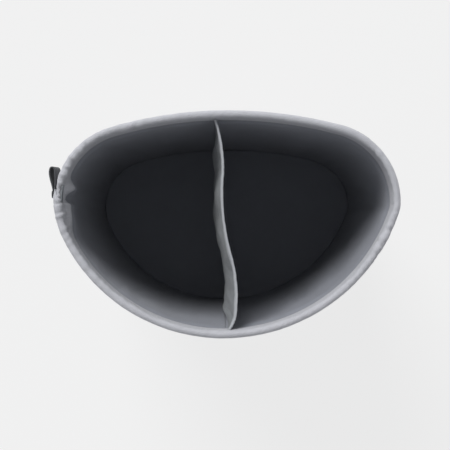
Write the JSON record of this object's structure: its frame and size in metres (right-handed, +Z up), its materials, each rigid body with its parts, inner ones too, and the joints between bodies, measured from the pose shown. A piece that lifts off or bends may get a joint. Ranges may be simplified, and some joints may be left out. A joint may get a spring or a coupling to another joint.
{
  "type": "laundry sorter on wheels",
  "caption": "Soft two-compartment laundry sorter with a D-shaped mouth on a sprung rim hoop, an S-shaped divider, a webbing pull loop and swivel casters.",
  "frame": {"origin": "on the floor under the middle of the whole object's box", "axes": "+Z up; +X along the mouth, towards the end away from the pull loop; +Y towards the flat back side"},
  "size_m": [0.606, 0.395, 0.62],
  "materials": {
    "bag_canvas": "woven, matt",
    "ball_steel": "polished",
    "binding_tape": "ribbed tape",
    "coated_hoop": "plastic-coated spring steel",
    "divider_cloth": "woven, slight sheen",
    "hem_canvas": "woven, matt",
    "lining_cloth": "woven, slight sheen",
    "plywood_board": "sanded plywood",
    "seam_tape": "ribbed tape",
    "stiffener_sheet": "extruded sheet",
    "tyre_rubber": "moulded, soft",
    "webbing": "woven webbing",
    "wheel_nylon": "moulded",
    "zinc_steel": "zinc plated, satin"
  },
  "bodies": {
    "bag": {"back_stiffener": "stiffener_sheet", "base_board": "plywood_board", "bottom_cover": "bag_canvas", "caster_bolts": "zinc_steel", "caster_plate_back_left": "zinc_steel", "caster_plate_back_right": "zinc_steel", "caster_plate_front_left": "zinc_steel", "caster_plate_front_right": "zinc_steel", "divider_binding": "binding_tape", "divider_panel": "divider_cloth", "front_stiffener": "stiffener_sheet", "hoop_ferrule": "zinc_steel", "king_pin_back_left": "zinc_steel", "king_pin_back_right": "zinc_steel", "king_pin_front_left": "zinc_steel", "king_pin_front_right": "zinc_steel", "left_floor_lining": "lining_cloth", "left_lining": "lining_cloth", "left_seam_tape": "seam_tape", "loop_anchor": "webbing", "outer_back_panel": "bag_canvas", "outer_front_panel": "bag_canvas", "right_floor_lining": "lining_cloth", "right_lining": "lining_cloth", "right_seam_tape": "seam_tape", "rim_hem": "hem_canvas", "rim_hoop": "coated_hoop", "tee_nuts": "zinc_steel"},
    "swivel_back_left": {"caster_fork_back_left": "zinc_steel", "axle_bolt_back_left": "zinc_steel", "axle_nut_back_left": "zinc_steel", "swivel_balls_back_left": "ball_steel"},
    "wheel_back_left": {"wheel_core_back_left": "wheel_nylon", "tyre_back_left": "tyre_rubber"},
    "swivel_back_right": {"caster_fork_back_right": "zinc_steel", "axle_bolt_back_right": "zinc_steel", "axle_nut_back_right": "zinc_steel", "swivel_balls_back_right": "ball_steel"},
    "wheel_back_right": {"wheel_core_back_right": "wheel_nylon", "tyre_back_right": "tyre_rubber"},
    "swivel_front_left": {"caster_fork_front_left": "zinc_steel", "axle_bolt_front_left": "zinc_steel", "axle_nut_front_left": "zinc_steel", "swivel_balls_front_left": "ball_steel"},
    "wheel_front_left": {"wheel_core_front_left": "wheel_nylon", "tyre_front_left": "tyre_rubber"},
    "swivel_front_right": {"caster_fork_front_right": "zinc_steel", "axle_bolt_front_right": "zinc_steel", "axle_nut_front_right": "zinc_steel", "swivel_balls_front_right": "ball_steel"},
    "wheel_front_right": {"wheel_core_front_right": "wheel_nylon", "tyre_front_right": "tyre_rubber"},
    "loop": {"pull_loop": "webbing"}
  },
  "joints": [
    {"name": "swivel_back_left", "type": "hinge", "parent": "bag", "child": "swivel_back_left", "pos_m": [-0.165, 0.085, 0.06], "axis": [0, 0, 1], "continuous": true},
    {"name": "wheel_spin_back_left", "type": "hinge", "parent": "swivel_back_left", "child": "wheel_back_left", "pos_m": [-0.143, 0.085, 0.025], "axis": [0, 1, 0], "continuous": true},
    {"name": "swivel_back_right", "type": "hinge", "parent": "bag", "child": "swivel_back_right", "pos_m": [0.165, 0.085, 0.06], "axis": [0, 0, 1], "continuous": true},
    {"name": "wheel_spin_back_right", "type": "hinge", "parent": "swivel_back_right", "child": "wheel_back_right", "pos_m": [0.187, 0.085, 0.025], "axis": [0, 1, 0], "continuous": true},
    {"name": "swivel_front_left", "type": "hinge", "parent": "bag", "child": "swivel_front_left", "pos_m": [-0.125, -0.075, 0.06], "axis": [0, 0, 1], "continuous": true},
    {"name": "wheel_spin_front_left", "type": "hinge", "parent": "swivel_front_left", "child": "wheel_front_left", "pos_m": [-0.103, -0.075, 0.025], "axis": [0, 1, 0], "continuous": true},
    {"name": "swivel_front_right", "type": "hinge", "parent": "bag", "child": "swivel_front_right", "pos_m": [0.125, -0.075, 0.06], "axis": [0, 0, 1], "continuous": true},
    {"name": "wheel_spin_front_right", "type": "hinge", "parent": "swivel_front_right", "child": "wheel_front_right", "pos_m": [0.147, -0.075, 0.025], "axis": [0, 1, 0], "continuous": true},
    {"name": "pull_loop_swing", "type": "hinge", "parent": "bag", "child": "loop", "pos_m": [-0.2974, 0.061, 0.599], "axis": [0, 0, 1], "range_deg": [0, 95]}
  ]
}
